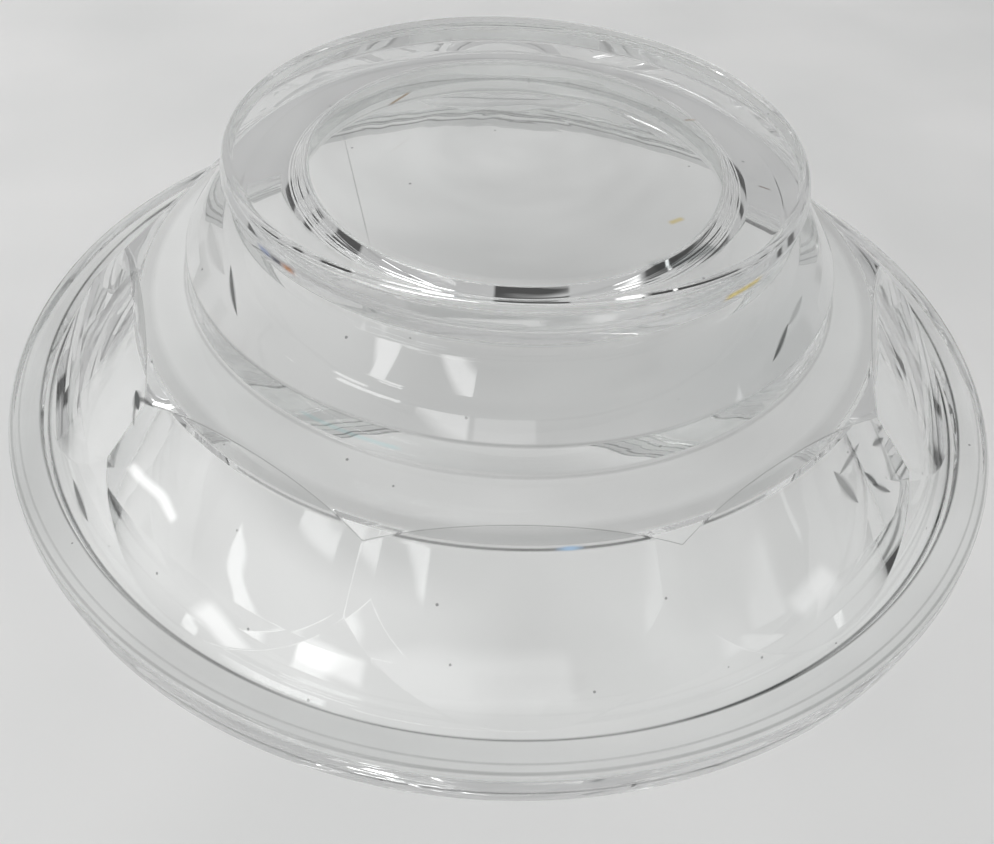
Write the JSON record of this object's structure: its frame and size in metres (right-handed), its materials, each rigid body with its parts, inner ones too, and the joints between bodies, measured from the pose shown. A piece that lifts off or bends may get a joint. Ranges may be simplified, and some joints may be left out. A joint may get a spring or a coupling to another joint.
{
  "type": "fruit bowl",
  "caption": "Round footed fruit bowl of clear cut crystal, with flat cut panels round its wall and a broad ground rim, shown upside down on its rim.",
  "frame": {"origin": "centre of the flat circle of the rim, on the plane that the upturned bowl rests on", "axes": "+Z along the bowl's axis, from the rim up to the foot's flat base; -Y towards the viewer of the picture"},
  "size_m": [0.29, 0.29, 0.0778],
  "materials": {
    "bowl_crystal": "clear polished cut crystal",
    "foot_crystal": "clear polished crystal"
  },
  "bodies": {
    "root": {"bowl": "bowl_crystal", "foot": "foot_crystal"}
  },
  "joints": []
}
